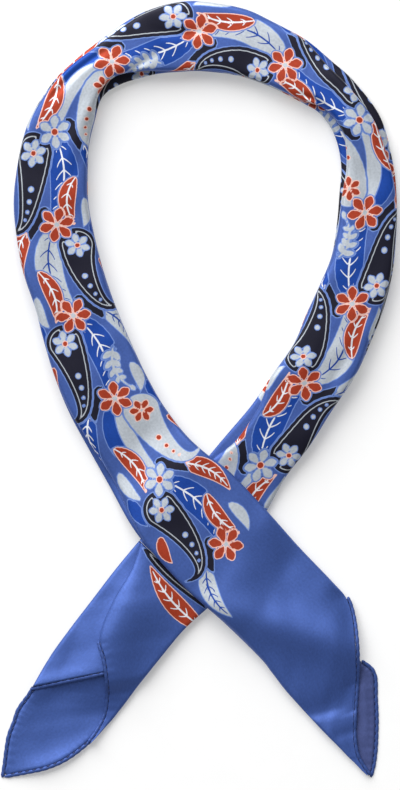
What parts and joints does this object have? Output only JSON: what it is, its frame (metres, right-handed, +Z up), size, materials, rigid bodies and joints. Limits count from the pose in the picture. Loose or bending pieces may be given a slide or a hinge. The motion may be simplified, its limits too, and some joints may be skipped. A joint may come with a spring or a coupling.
{
  "type": "silk square scarf",
  "caption": "Silk square scarf folded on the bias into a band, laid flat in a loop with its ends crossed, with plain corners and rolled hems.",
  "frame": {"origin": "on the surface the scarf lies on, under the middle of its whole outline", "axes": "+Z up off the surface, +Y from the tails to the top of the loop, +X to the right seen from above"},
  "size_m": [0.2123, 0.4177, 0.0141],
  "materials": {
    "silk_print": "printed silk twill, soft sheen",
    "silk_wrong_side": "silk twill seen from its wrong side, duller",
    "silk_hem": "hand-rolled silk hem with spaced stitches"
  },
  "bodies": {
    "root": {"loop": "silk_print", "right_tail_front": "silk_print", "right_tail_back": "silk_wrong_side", "left_tail_base": "silk_print", "left_tail_left_flap": "silk_print", "left_tail_right_flap": "silk_print", "left_tail_hem_left": "silk_hem", "left_tail_hem_bottom": "silk_hem", "left_flap_hem": "silk_hem", "right_flap_hem": "silk_hem", "right_tail_front_hem": "silk_hem", "right_tail_back_hem": "silk_hem"}
  },
  "joints": []
}
